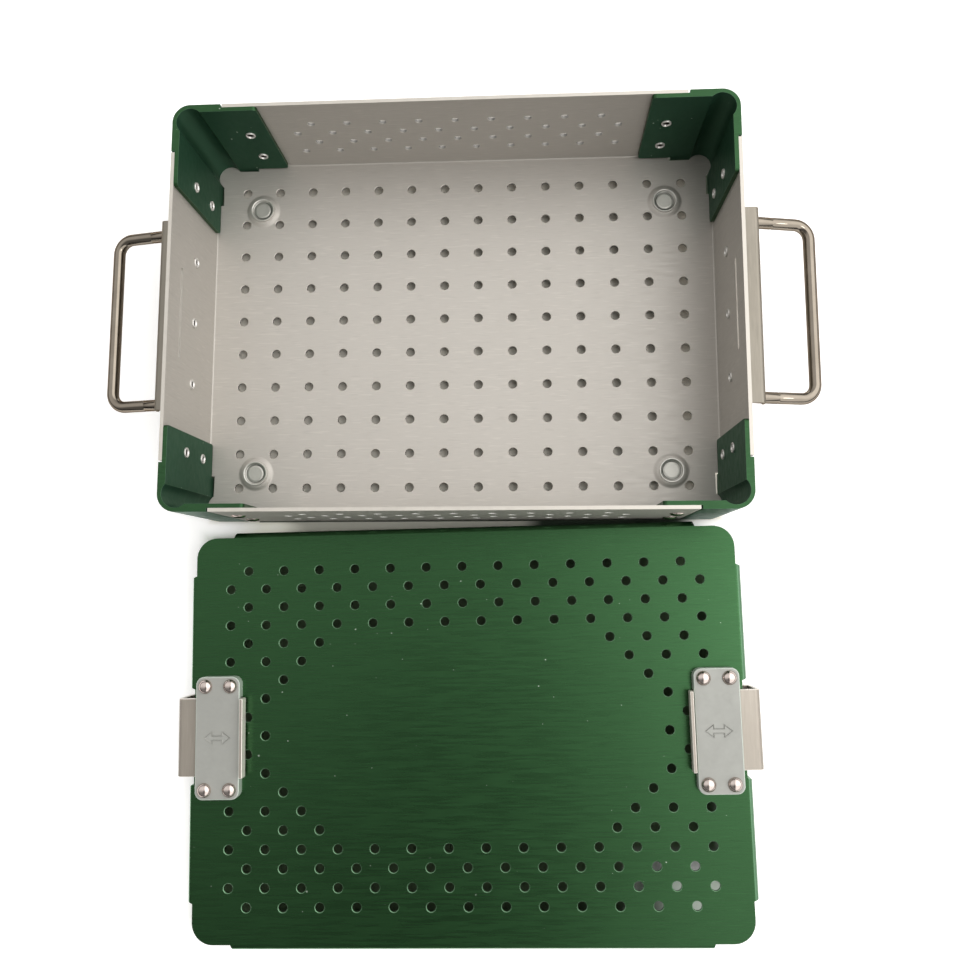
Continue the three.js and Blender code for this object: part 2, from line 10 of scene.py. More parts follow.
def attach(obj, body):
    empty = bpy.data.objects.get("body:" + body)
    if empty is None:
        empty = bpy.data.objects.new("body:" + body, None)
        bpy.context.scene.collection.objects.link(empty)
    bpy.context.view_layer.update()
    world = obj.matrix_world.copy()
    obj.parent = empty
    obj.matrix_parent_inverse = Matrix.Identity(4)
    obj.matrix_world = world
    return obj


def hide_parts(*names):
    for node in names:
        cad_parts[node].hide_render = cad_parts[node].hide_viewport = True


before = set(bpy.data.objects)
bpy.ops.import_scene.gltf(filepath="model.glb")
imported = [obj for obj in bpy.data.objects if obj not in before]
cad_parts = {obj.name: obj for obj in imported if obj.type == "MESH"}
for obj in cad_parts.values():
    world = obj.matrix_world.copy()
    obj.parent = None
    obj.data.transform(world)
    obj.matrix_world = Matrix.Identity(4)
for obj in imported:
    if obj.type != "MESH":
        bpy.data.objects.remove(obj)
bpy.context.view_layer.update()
print("frame loaded:", len(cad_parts), "nodes")

millimetre = Matrix.Scale(0.001, 4)
standUp = Matrix(((0, 0, 1, 0), (1, 0, 0, 0), (0, 1, 0, 0), (0, 0, 0, 1)))  # X to Y, Y to Z, Z to X
tipUp = Matrix.Rotation(pi / 2, 4, "X")  # Y to Z, Z to -Y
tipOut = Matrix.Rotation(pi / 2, 4, "Y")  # Z to X
tipIn = Matrix.Rotation(-pi / 2, 4, "Y")  # Z to -X
mirroredSides = {"right": 0.0, "left": pi}
lidTurn = radians(1.25)  # The lid lies turned by this
weldDistance = 0.003
tolerance = 0.01  # For finding points and faces by their place
sharpTurn = radians(32)
bevelTurn = radians(40)
flatNormal = 0.9999  # A face that looks this straight along an axis is shaded flat
sideNormal = 0.9


# Small tools for every piece
def moved(x, y, z):
    return Matrix.Translation((x, y, z))


def turned(angle):
    return Matrix.Rotation(angle, 4, "Z")


def arc(x, y, radius, first, last, steps):
    angles = [radians(first + (last - first) * i / steps) for i in range(steps + 1)]
    return [(x + radius * cos(a), y + radius * sin(a)) for a in angles]


def vertsOf(geom):
    return [item for item in geom if isinstance(item, bmesh.types.BMVert)]


def edgesOf(geom):
    return [item for item in geom if isinstance(item, bmesh.types.BMEdge)]


def pullEdges(bm, edges, move):
    geom = bmesh.ops.extrude_edge_only(bm, edges=edges)["geom"]
    verts = vertsOf(geom)
    bmesh.ops.translate(bm, vec=move, verts=verts)
    known = set(verts)
    return [edge for edge in edgesOf(geom) if known.issuperset(edge.verts)], verts


def paintNext(edges, finish):
    for edge in edges:
        for face in edge.link_faces:
            face.material_index = finish


def newObject(name, data):
    made = bpy.data.objects.new(name, data)
    bpy.context.collection.objects.link(made)
    return made


def mergeInto(bm, part, place):
    bmesh.ops.transform(part, matrix=place, verts=part.verts)
    swap = bpy.data.meshes.new("swap")
    part.to_mesh(swap)
    part.free()
    bm.from_mesh(swap)
    bpy.data.meshes.remove(swap)


def closedLoop(bm, points, z):
    verts = [bm.verts.new((x, y, z)) for x, y in points]
    return [bm.edges.new((verts[i - 1], verts[i])) for i in range(len(verts))]


# A flat sheet about Z = 0. A hole is x, y, radius, chamfer and facets; with None as chamfer it has no wall.
def cutSheet(outline, holes, thickness, openSides=(), slots=(), holeFinishes=(1, 2)):
    bm = bmesh.new()
    top = thickness / 2
    rim = closedLoop(bm, outline, top)
    walls = [edge for i, edge in enumerate(rim) if i not in openSides]
    for points in slots:
        walls += closedLoop(bm, points, top)
    rings = []
    for x, y, radius, chamfer, facets in holes:
        place = moved(x, y, top)
        made = bmesh.ops.create_circle(bm, segments=facets, radius=radius + (chamfer or 0), matrix=place)
        rings.append(list({edge for vert in made["verts"] for edge in vert.link_edges}))
    bmesh.ops.triangle_fill(bm, edges=bm.edges[:], use_beauty=True, normal=(0, 0, 1))
    for (x, y, radius, chamfer, facets), ring in zip(holes, rings):
        if chamfer is None:
            continue
        if chamfer:
            ring, verts = pullEdges(bm, ring, (0, 0, -chamfer))
            paintNext(ring, holeFinishes[0])
            share = radius / (radius + chamfer)
            centre = moved(-x, -y, 0)
            bmesh.ops.scale(bm, vec=(share, share, 1), space=centre, verts=verts)
        paintNext(pullEdges(bm, ring, (0, 0, chamfer - top))[0], holeFinishes[1])
    paintNext(pullEdges(bm, walls, (0, 0, -top))[0], 1)
    geom = bm.verts[:] + bm.edges[:] + bm.faces[:]
    bmesh.ops.mirror(bm, geom=geom, matrix=Matrix.Identity(4), merge_dist=weldDistance, axis="Z")
    return bm


# The rounded fold along a sheet's open side. Y runs along it, and it turns about -Y at the origin.
def foldFrame(bm, length, inner, sheet, angle, steps):
    ends = []
    for y in (-length / 2, length / 2):
        radii = (inner, inner + sheet / 2, inner + sheet)
        ends.append([bm.verts.new((0, y, -copysign(radius, angle))) for radius in radii])
    edges = [bm.edges.new((end[i], end[i + 1])) for end in ends for i in (0, 1)]
    edges += [bm.edges.new((ends[0][i], ends[1][i])) for i in (0, 2)]
    geom = ends[0] + ends[1] + edges
    spun = bmesh.ops.spin(bm, geom=geom, cent=(0, 0, 0), axis=(0, -1, 0), angle=angle, steps=steps)
    return edgesOf(spun["geom_last"])


# A strip folded in X and Z from (x, z). Each move goes straight and then turns, left as positive.
def foldedStrip(start, heading, sheet, inner, moves, width, steps):
    bm = bmesh.new()
    angle = radians(heading)
    middle = Vector((start[0], -width / 2, start[1]))
    side = Vector((-sin(angle), 0, cos(angle))) * sheet / 2
    edge = bm.edges.new((bm.verts.new(middle + side), bm.verts.new(middle - side)))
    for straight, turn in moves:
        forward = Vector((cos(angle), 0, sin(angle))) * straight
        edge = pullEdges(bm, [edge], forward)[0][0]
        middle += forward
        if turn:
            across = Vector((-sin(angle), 0, cos(angle))) * copysign(inner + sheet / 2, turn)
            centre = middle + across
            spun = bmesh.ops.spin(bm, geom=[edge, *edge.verts], cent=centre, axis=(0, -1, 0),
                                  angle=radians(turn), steps=steps)
            edge = edgesOf(spun["geom_last"])[0]
            middle = centre - Matrix.Rotation(radians(turn), 4, (0, -1, 0)) @ across
            angle += radians(turn)
    made = bmesh.ops.extrude_face_region(bm, geom=bm.faces[:])["geom"]
    bmesh.ops.translate(bm, vec=(0, width, 0), verts=vertsOf(made))
    bm.normal_update()
    for face in bm.faces:
        if abs(face.normal.y) > sideNormal:
            face.material_index = 1
    return bm


# A turned piece about Z from its profile of radius and height
def turnedPiece(profile, facets, closed=False):
    bm = bmesh.new()
    verts = [bm.verts.new((r, 0, z)) for r, z in profile]
    pairs = list(zip(verts, verts[1:])) + ([(verts[-1], verts[0])] if closed else [])
    geom = verts + [bm.edges.new(pair) for pair in pairs]
    bmesh.ops.spin(bm, geom=geom, cent=(0, 0, 0), axis=(0, 0, 1), angle=2 * pi, steps=facets, use_merge=True)
    return bm


def bevelled(piece, width, segments, finish):
    rounding = piece.modifiers.new("rounding", "BEVEL")
    rounding.width = width / 1000
    rounding.segments = segments
    rounding.limit_method = "ANGLE"
    rounding.angle_limit = bevelTurn
    rounding.harden_normals = True
    rounding.material = finish


def addPiece(bm, name, place, finishes, body, nodes=(), rounding=0, roundingSteps=2, roundingFinish=-1):
    bmesh.ops.remove_doubles(bm, verts=bm.verts, dist=weldDistance)
    bmesh.ops.recalc_face_normals(bm, faces=bm.faces)
    bm.normal_update()
    for face in bm.faces:
        face.smooth = max(abs(part) for part in face.normal) < flatNormal
    for edge in bm.edges:
        edge.smooth = edge.calc_face_angle(0) < sharpTurn
    bmesh.ops.transform(bm, matrix=millimetre @ place, verts=bm.verts)
    mesh = bpy.data.meshes.new(name)
    bm.to_mesh(mesh)
    bm.free()
    piece = newObject(name, mesh)
    for finish in finishes:
        mesh.materials.append(finish["material"])
    if rounding:
        bevelled(piece, rounding, roundingSteps, roundingFinish)
    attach(piece, body)
    if nodes:
        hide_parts(*nodes)


# Small tools for node trees
def emptyTree(owner):
    owner.use_nodes = True
    owner.node_tree.nodes.clear()
    return owner.node_tree


# A value goes to the node's setting of that name, or else to its socket
def newNode(tree, kind, **values):
    node = tree.nodes.new(kind)
    for name, value in values.items():
        if hasattr(node, name):
            setattr(node, name, value)
        else:
            node.inputs[name].default_value = value
    return node


def wire(tree, source, target):
    tree.links.new(source, target)


def combined(tree, operation, *values):
    node = newNode(tree, "ShaderNodeMath", operation=operation)
    for socket, value in zip(node.inputs, values):
        if isinstance(value, (int, float)):
            socket.default_value = value
        else:
            wire(tree, value, socket)
    return node.outputs[0]


def ramped(tree, source, low, high, lowLevel, highLevel, shape="LINEAR"):
    spread = newNode(tree, "ShaderNodeMapRange", interpolation_type=shape)
    for name, value in (("From Min", low), ("From Max", high), ("To Min", lowLevel), ("To Max", highLevel)):
        spread.inputs[name].default_value = value
    wire(tree, source, spread.inputs["Value"])
    return spread.outputs[0]


def blended(tree, factor, first, second):
    blend = newNode(tree, "ShaderNodeMix", data_type="RGBA")
    for socket, value in ((blend.inputs[6], first), (blend.inputs[7], second)):
        if isinstance(value, tuple):
            socket.default_value = (*value, 1)
        else:
            wire(tree, value, socket)
    wire(tree, factor, blend.inputs["Factor"])
    return blend.outputs[2]


def splitAxes(tree, source):
    axes = newNode(tree, "ShaderNodeSeparateXYZ")
    wire(tree, source, axes.inputs[0])
    return axes.outputs


# Finishes
def newSurface(name, look):
    material = bpy.data.materials.new(name)
    tree = emptyTree(material)
    output = newNode(tree, "ShaderNodeOutputMaterial")
    shader = newNode(tree, "ShaderNodeBsdfPrincipled", Metallic=look["metallic"], Roughness=look["roughness"])
    if "edgeTint" in look:
        shader.inputs["Specular Tint"].default_value = (*look["edgeTint"], 1)
    wire(tree, shader.outputs[0], output.inputs["Surface"])
    return material, tree, shader


def addRelief(tree, shader, height, strength, depth):
    relief = newNode(tree, "ShaderNodeBump", Strength=strength, Distance=depth)
    wire(tree, height, relief.inputs["Height"])
    wire(tree, relief.outputs["Normal"], shader.inputs["Normal"])


brushing = {
    "endNormal": 0.75,
    "usual": (0.3, 0.7),
    "rare": (0.66, 0.76),
    "chipRange": (0.875, 0.89),
    "chipColour": (0.42, 0.50, 0.42),
    "blotchScale": 26.0,
    "roughnessSpread": 0.14,
    "reliefDepth": 0.00006,
}
# Each layer of lines: its shares of the grain along and across, its detail and its shift
strokes = {
    "fine": (1.0, 1.0, 1.0, 0.0),
    "broad": (0.5, 0.3, 1.0, 7.3),
    "lightMark": (0.8, 0.55, 0.0, 31.7),
    "darkMark": (0.7, 0.5, 0.0, 53.1),
}


# Brushed metal: lines along X on level faces and long walls, up the end walls, as the blank was brushed flat
def brushedMetal(name, look):
    material, tree, shader = newSurface(name, look)
    if "specular" in look:
        shader.inputs["Specular IOR Level"].default_value = look["specular"]
    if "coat" in look:
        shader.inputs["Coat Weight"].default_value = look["coat"]
        shader.inputs["Coat Roughness"].default_value = look["coatRoughness"]
    coords = newNode(tree, "ShaderNodeTexCoord")
    mapping = newNode(tree, "ShaderNodeMapping", Rotation=(0, 0, look.get("turn", 0)))
    wire(tree, coords.outputs["Object"], mapping.inputs["Vector"])
    axes = splitAxes(tree, mapping.outputs["Vector"])
    upright = combined(tree, "ABSOLUTE", splitAxes(tree, coords.outputs["Normal"])["X"])
    choice = newNode(tree, "ShaderNodeMix", data_type="VECTOR")
    wire(tree, combined(tree, "GREATER_THAN", upright, brushing["endNormal"]), choice.inputs["Factor"])
    for socket, order in ((choice.inputs[4], "XYZ"), (choice.inputs[5], "ZYX")):
        swapped = newNode(tree, "ShaderNodeCombineXYZ")
        for axis, source in zip("XYZ", order):
            wire(tree, axes[source], swapped.inputs[axis])
        wire(tree, swapped.outputs[0], socket)
    layers = {}
    for layer, (alongShare, acrossShare, detail, shift) in strokes.items():
        along, across = look["grainAlong"] * alongShare, look["grainAcross"] * acrossShare
        scaled = newNode(tree, "ShaderNodeVectorMath", operation="MULTIPLY_ADD")
        scaled.inputs[1].default_value = (along, across, across)
        scaled.inputs[2].default_value = (shift, shift, shift)
        wire(tree, choice.outputs[1], scaled.inputs[0])
        noise = newNode(tree, "ShaderNodeTexNoise", Scale=1.0, Detail=detail, Roughness=0.5)
        wire(tree, scaled.outputs["Vector"], noise.inputs["Vector"])
        layers[layer] = noise.outputs["Fac"]
    blotch = newNode(tree, "ShaderNodeTexNoise", Scale=brushing["blotchScale"], Detail=2.0, Roughness=0.5)
    wire(tree, mapping.outputs["Vector"], blotch.inputs["Vector"])
    layers["blotch"] = blotch.outputs["Fac"]
    tones = []
    for layer, amount in (("fine", "grain"), ("broad", "grain"), ("blotch", "blotch")):
        tones.append(ramped(tree, layers[layer], *brushing["usual"], 1 - look[amount], 1 + look[amount]))
    tones.append(ramped(tree, layers["lightMark"], *brushing["rare"], 1.0, 1 + look["lightMark"]))
    tones.append(ramped(tree, layers["darkMark"], *brushing["rare"], 1.0, 1 - look["darkMark"]))
    tone = tones[0]
    for factor in tones[1:]:
        tone = combined(tree, "MULTIPLY", tone, factor)
    colour = newNode(tree, "ShaderNodeVectorMath", operation="SCALE")
    colour.inputs[0].default_value = look["colour"]
    wire(tree, tone, colour.inputs["Scale"])
    finish = colour.outputs["Vector"]
    if "chips" in look:
        chip = newNode(tree, "ShaderNodeTexNoise", Scale=look["chips"], Detail=0.0)
        wire(tree, coords.outputs["Object"], chip.inputs["Vector"])
        worn = ramped(tree, chip.outputs["Fac"], *brushing["chipRange"], 0.0, 1.0)
        finish = blended(tree, worn, finish, brushing["chipColour"])
    wire(tree, finish, shader.inputs["Base Color"])
    spread = brushing["roughnessSpread"]
    unevenness = ramped(tree, layers["broad"], *brushing["usual"], 1 - spread, 1 + spread)
    wire(tree, combined(tree, "MULTIPLY", unevenness, look["roughness"]), shader.inputs["Roughness"])
    addRelief(tree, shader, layers["fine"], look["bump"], brushing["reliefDepth"])
    return {"material": material, "slot": look["slot"]}


# What a bright metal has unless its own dictionary says otherwise
usualBright = {
    "cloudScale": 300.0,
    "grainScale": 2500.0,
    "bump": 0.1,
    "roughnessShares": (0.7, 1.4),
    "reliefDepth": 0.00004,
}


# Bright metal: drawn wire, rivets and feet, with faint cloudiness and fine scratches all ways
def brightMetal(name, look):
    look = usualBright | look
    material, tree, shader = newSurface(name, look)
    coords = newNode(tree, "ShaderNodeTexCoord")
    cloud = newNode(tree, "ShaderNodeTexNoise", Scale=look["cloudScale"], Detail=4.0, Roughness=0.6)
    wire(tree, coords.outputs["Object"], cloud.inputs["Vector"])
    wire(tree, blended(tree, cloud.outputs["Fac"], look["dark"], look["colour"]), shader.inputs["Base Color"])
    low, high = (look["roughness"] * share for share in look["roughnessShares"])
    wire(tree, ramped(tree, cloud.outputs["Fac"], 0.0, 1.0, low, high), shader.inputs["Roughness"])
    grain = newNode(tree, "ShaderNodeTexNoise", Scale=look["grainScale"], Detail=2.0)
    wire(tree, coords.outputs["Object"], grain.inputs["Vector"])
    addRelief(tree, shader, grain.outputs["Fac"], look["bump"], look["reliefDepth"])
    return {"material": material, "slot": look["slot"]}


aluminium = brushedMetal("brushedAluminium", {
    "slot": "aluminium", "colour": (0.508, 0.482, 0.444), "metallic": 0.42, "roughness": 0.5,
    "bump": 0.10, "grainAlong": 190.0, "grainAcross": 2900.0, "grain": 0.020,
    "blotch": 0.010, "lightMark": 0.07, "darkMark": 0.05,
})
# Painted highlight: a lighter copy of the aluminium for cut edges, rims, lobe and hole chamfers
paintedHighlightEdge = brightMetal("brightEdge", {
    "slot": "aluminium", "colour": (0.66, 0.63, 0.575), "dark": (0.54, 0.51, 0.46),
    "metallic": 0.6, "roughness": 0.4, "bump": 0.15,
})
green = brushedMetal("greenAnodised", {
    "slot": "green_anodised", "colour": (0.026, 0.083, 0.029), "metallic": 0.9, "roughness": 0.28,
    "bump": 0.10, "grainAlong": 130.0, "grainAcross": 3000.0, "grain": 0.03,
    "blotch": 0.02, "lightMark": 0.09, "darkMark": 0.09,
    "coat": 0.15, "coatRoughness": 0.2, "edgeTint": (0.7, 1.0, 0.75), "turn": -lidTurn, "chips": 620.0,
})
# Painted highlight: a light green copy for the lid's cut edges and hole chamfers
greenEdgeHighlight = brightMetal("greenEdgeHighlight", {
    "slot": "green_anodised", "colour": (0.24, 0.42, 0.26), "dark": (0.15, 0.30, 0.17),
    "metallic": 0.6, "roughness": 0.35, "bump": 0.15,
})
greenPost = brushedMetal("greenExtrusion", {
    "slot": "green_anodised", "colour": (0.030, 0.082, 0.048), "metallic": 0.42, "roughness": 0.36,
    "bump": 0.03, "grainAlong": 900.0, "grainAcross": 900.0, "grain": 0.02,
    "blotch": 0.08, "lightMark": 0.03, "darkMark": 0.02,
    "specular": 0.2, "edgeTint": (0.3, 0.5, 0.38), "chips": 650.0,
})
greenCut = brushedMetal("greenCutEdge", {
    "slot": "green_anodised", "colour": (0.030, 0.088, 0.034), "metallic": 0.8, "roughness": 0.42,
    "bump": 0.10, "grainAlong": 300.0, "grainAcross": 1500.0, "grain": 0.05,
    "blotch": 0.08, "lightMark": 0.15, "darkMark": 0.1, "chips": 900.0,
})
# Painted highlight: a light green copy for the bend of the lid's right end
greenBendHighlight = brightMetal("greenBendHighlight", {
    "slot": "green_anodised", "colour": (0.12, 0.25, 0.14), "dark": (0.09, 0.19, 0.105),
    "metallic": 0.6, "roughness": 0.35, "cloudScale": 120.0,
})
# Painted highlight: a light green copy for the posts' rounded edges
greenRimHighlight = brightMetal("greenRimHighlight", {
    "slot": "green_anodised", "colour": (0.12, 0.25, 0.15), "dark": (0.06, 0.14, 0.08),
    "metallic": 0.6, "roughness": 0.35,
})
satinPlate = brushedMetal("satinPlate", {
    "slot": "plate", "colour": (0.36, 0.365, 0.34), "metallic": 0.35, "roughness": 0.5,
    "bump": 0.05, "grainAlong": 500.0, "grainAcross": 700.0, "grain": 0.012,
    "blotch": 0.02, "lightMark": 0.02, "darkMark": 0.02,
})
# Painted highlight: a light copy for the bridge plates' sides, rivet holes, roundings and spacers
plateEdgeHighlight = brightMetal("plateEdgeHighlight", {
    "slot": "plate", "colour": (0.56, 0.62, 0.56), "dark": (0.46, 0.51, 0.46),
    "metallic": 0.4, "roughness": 0.4,
})
rolledSteel = brushedMetal("rolledSteel", {
    "slot": "steel", "colour": (0.25, 0.23, 0.195), "metallic": 0.85, "roughness": 0.34,
    "bump": 0.08, "grainAlong": 1800.0, "grainAcross": 160.0, "grain": 0.03,
    "blotch": 0.05, "lightMark": 0.06, "darkMark": 0.08, "edgeTint": (0.4, 0.33, 0.27),
})
sliderSteel = brushedMetal("sliderSteel", {
    "slot": "steel", "colour": (0.365, 0.33, 0.285), "metallic": 0.6, "roughness": 0.36,
    "bump": 0.06, "grainAlong": 1800.0, "grainAcross": 160.0, "grain": 0.02,
    "blotch": 0.04, "lightMark": 0.04, "darkMark": 0.05,
})
# Hole walls: darker because the punched wall is rougher, and painted shade besides
roughBoreAndShade = brightMetal("roughBoreAndShade", {
    "slot": "aluminium", "colour": (0.34, 0.33, 0.31), "dark": (0.24, 0.235, 0.22),
    "metallic": 0.4, "roughness": 0.5, "cloudScale": 400.0,
})
# Painted light: a near-white copy for the bores of the front wall
paintedLitBore = brightMetal("paintedLitBore", {
    "slot": "aluminium", "colour": (0.97, 0.96, 0.93), "dark": (0.90, 0.89, 0.86),
    "metallic": 0.1, "roughness": 0.4, "cloudScale": 400.0,
})
greenBore = brightMetal("greenBore", {
    "slot": "green_anodised", "colour": (0.03, 0.08, 0.03), "dark": (0.02, 0.05, 0.02),
    "metallic": 0.4, "roughness": 0.5, "cloudScale": 400.0,
})
# Painted shade: a near-black copy of the rivet metal for the inside of the bores
rivetBore = brightMetal("rivetBore", {
    "slot": "rivet", "colour": (0.10, 0.08, 0.07), "dark": (0.05, 0.04, 0.035),
    "metallic": 0.6, "roughness": 0.4, "cloudScale": 500.0,
})
# Painted highlight: a light copy of the steel for the sliders' lip, cut sides and roundings
steelEdgeHighlight = brightMetal("steelEdgeHighlight", {
    "slot": "steel", "colour": (0.90, 0.85, 0.79), "dark": (0.78, 0.73, 0.67),
    "metallic": 0.35, "roughness": 0.35,
})
polishedWire = brightMetal("polishedWire", {
    "slot": "steel", "colour": (0.325, 0.288, 0.242), "dark": (0.205, 0.178, 0.144),
    "metallic": 1.0, "roughness": 0.09, "edgeTint": (0.16, 0.11, 0.07), "cloudScale": 90.0,
})
brightRivet = brightMetal("brightRivet", {
    "slot": "rivet", "colour": (0.74, 0.65, 0.60), "dark": (0.52, 0.45, 0.42),
    "metallic": 1.0, "roughness": 0.12, "edgeTint": (0.45, 0.36, 0.33),
    "cloudScale": 400.0, "grainScale": 3000.0, "bump": 0.12,
})
satinFoot = brightMetal("satinFoot", {
    "slot": "aluminium", "colour": (0.55, 0.545, 0.50), "dark": (0.44, 0.435, 0.40),
    "metallic": 0.6, "roughness": 0.36, "bump": 0.15,
})
# Painted highlight: a light copy of the foot metal for the top of the rolled rims
footRimHighlight = brightMetal("footRimHighlight", {
    "slot": "aluminium", "colour": (0.76, 0.75, 0.70), "dark": (0.62, 0.61, 0.57),
    "metallic": 0.6, "roughness": 0.3, "bump": 0.15,
})
# Painted highlight: a light copy of the rivet metal for the rolled tails
rivetTailHighlight = brightMetal("rivetTailHighlight", {
    "slot": "rivet", "colour": (0.90, 0.88, 0.84), "dark": (0.62, 0.60, 0.57),
    "metallic": 0.5, "roughness": 0.28, "cloudScale": 900.0, "grainScale": 3000.0, "bump": 0.12,
})
print("finishes ready")

# Tray body
tray = {
    "place": (0, 91.854, 0),
    "length": 239.8,
    "width": 174.8,
    "sheet": 1.5,
    "standHeight": 4.0,
    "rimHeight": 59.7,
    "bendInner": 0.7,
    "bendSteps": 8,
    "pitch": 16.0,
    "floorGrid": (14, 10),
    "floorHole": (2.0, 0.22, 28),  # Radius, chamfer and facets
    "wallHole": (1.6, 0.2, 24),
    "wallRows": ((38, 9), (30, 10), (22, 9), (14, 10)),  # Level and number of holes
    "rivetHole": (1.9, 0, 16),
    "rivetInset": 27.4,
    "rivetLevels": (14, 33.5),
    "bracketRivets": (-28, 0, 28),
    "bracketLevel": 24,
    # Bores of the right, back, left and front walls: painted highlight at the ends, painted shade at the
    # back, painted light at the front
    "wallHoleFinishes": ((1, 1), (0, 2), (1, 1), (3, 3)),
    "slot": (41, 40, 2.2),  # Level, length and width
    "slotSteps": 8,
    "foldStart": 21.2,
    "slitEdge": 4.3,
    "lobeCentre": 7.5,
    "lobeRadius": 5.5,
    "lobeChamfer": 0.3,
    "lobeSteps": 20,
    "feet": (96, 64),
    "footShift": 1.2,
    "bossFacets": 40,
}
# The rounded boss around a foot, from the flat floor inwards: radius and rise
bossRise = ((8.3, 0), (8.05, 0.03), (7.75, 0.12), (7.4, 0.3), (7.05, 0.54), (6.7, 0.76), (6.3, 0.92),
            (5.85, 1.0), (3.9, 1.0))
trayPlace = Matrix.Translation(tray["place"])
floorTop = tray["standHeight"] + tray["sheet"]
trayHalf = (tray["length"] / 2, tray["width"] / 2)
bendOuter = tray["bendInner"] + tray["sheet"]
cornerSigns = {"front_left": (-1, -1), "front_right": (1, -1), "back_right": (1, 1), "back_left": (-1, 1)}
cornerTurns = {"front_left": 0, "front_right": pi / 2, "back_right": pi, "back_left": 3 * pi / 2}


def cornerPlace(name):
    x, y = cornerSigns[name]
    return moved(x * trayHalf[0], y * trayHalf[1], 0) @ turned(cornerTurns[name])


def footSpot(x, y):
    return x * tray["feet"][0], y * tray["feet"][1] - tray["footShift"]


# The floor, with a slit beside each post and a lobe in its groove; open along the four fold lines
def trayFloor():
    edge, centre, lobe = tray["slitEdge"], tray["lobeCentre"], tray["lobeRadius"]
    reach = sqrt(lobe ** 2 - (centre - edge) ** 2)
    spread = degrees(atan2(reach, centre - edge))
    outline, openSides = [], []
    for name in cornerSigns:
        points = [(bendOuter, tray["foldStart"]), (edge, tray["foldStart"])]
        points += arc(centre, centre, lobe, 180 - spread, 270 + spread, tray["lobeSteps"])
        points += [(tray["foldStart"], edge), (tray["foldStart"], bendOuter)]
        openSides.append(len(outline))
        outline += [tuple((cornerPlace(name) @ Vector((x, y, 0))).xy) for x, y in points]
    columns, rows = tray["floorGrid"]
    spots = [(c - (columns - 1) / 2, r - (rows - 1) / 2) for c in range(columns) for r in range(rows)]
    holes = [(x * tray["pitch"], y * tray["pitch"], *tray["floorHole"]) for x, y in spots]
    bossRadius = bossRise[0][0] - weldDistance / 3
    holes += [(*footSpot(x, y), bossRadius, None, tray["bossFacets"]) for x, y in cornerSigns.values()]
    bm = cutSheet(outline, holes, tray["sheet"], openSides)
    for vert in bm.verts:
        x, y = trayHalf[0] - abs(vert.co.x) - centre, trayHalf[1] - abs(vert.co.y) - centre
        if vert.co.z > tray["sheet"] / 2 - tolerance and abs(sqrt(x * x + y * y) - lobe) < tolerance:
            share = tray["lobeChamfer"] / lobe
            vert.co.x += copysign(x * share, vert.co.x)
            vert.co.y += copysign(y * share, vert.co.y)
    return bm


def trayWall(span, isEnd, holeFinishes):
    half = span / 2 - tray["foldStart"]
    low, high = tray["standHeight"] + bendOuter, tray["rimHeight"]
    outline = [(-half, low), (half, low), (half, high), (-half, high)]
    holes = [(side * (span / 2 - tray["rivetInset"]), floorTop + level, *tray["rivetHole"])
             for side in (-1, 1) for level in tray["rivetLevels"]]
    slots = []
    if isEnd:
        level, length, width = tray["slot"]
        straight, middle, steps = (length - width) / 2, floorTop + level, tray["slotSteps"]
        slots.append(arc(straight, middle, width / 2, -90, 90, steps)
                     + arc(-straight, middle, width / 2, 90, 270, steps))
        holes += [(y, floorTop + tray["bracketLevel"], *tray["rivetHole"]) for y in tray["bracketRivets"]]
    else:
        for level, count in tray["wallRows"]:
            across = [(i - (count - 1) / 2) * tray["pitch"] for i in range(count)]
            holes += [(x, floorTop + level, *tray["wallHole"]) for x in across]
    return cutSheet(outline, holes, tray["sheet"], (1,), slots, holeFinishes)


def buildTrayBody():
    bm = bmesh.new()
    mergeInto(bm, trayFloor(), moved(0, 0, tray["standHeight"] + tray["sheet"] / 2))
    for i, holeFinishes in enumerate(tray["wallHoleFinishes"]):
        isEnd = i % 2 == 0
        half, span = (trayHalf[0], tray["width"]) if isEnd else (trayHalf[1], tray["length"])
        wall = moved(half - tray["sheet"] / 2, 0, 0) @ standUp
        mergeInto(bm, trayWall(span, isEnd, holeFinishes), turned(i * pi / 2) @ wall)
        fold = bmesh.new()
        length = span - 2 * tray["foldStart"]
        foldFrame(fold, length, tray["bendInner"], tray["sheet"], pi / 2, tray["bendSteps"])
        axis = moved(half - bendOuter, 0, tray["standHeight"] + bendOuter)
        mergeInto(bm, fold, turned(i * pi / 2) @ axis)
    profile = [(r, floorTop + z) for r, z in bossRise]
    profile += [(r, tray["standHeight"] + z) for r, z in reversed(bossRise)]
    for x, y in cornerSigns.values():
        mergeInto(bm, turnedPiece(profile, tray["bossFacets"]), moved(*footSpot(x, y), 0))
    finishes = (aluminium, paintedHighlightEdge, roughBoreAndShade, paintedLitBore)
    addPiece(bm, "trayBody", trayPlace, finishes, "tray", ["tray_body"])


buildTrayBody()
print("tray body built")

# Corner posts
post = {
    "radius": 7.5,
    "groove": 5.8,
    "headReach": 20.5,
    "sheet": 1.5,
    "wing": 1.8,
    "wingReach": 36.0,
    "wingLow": 6.6,
    "wingCorner": 1.6,
    "wingSteps": 6,
    "arcSteps": 14,
    "rounding": 0.28,
    "rivetHead": 1.1,
    "rivetBore": -1.4,
}


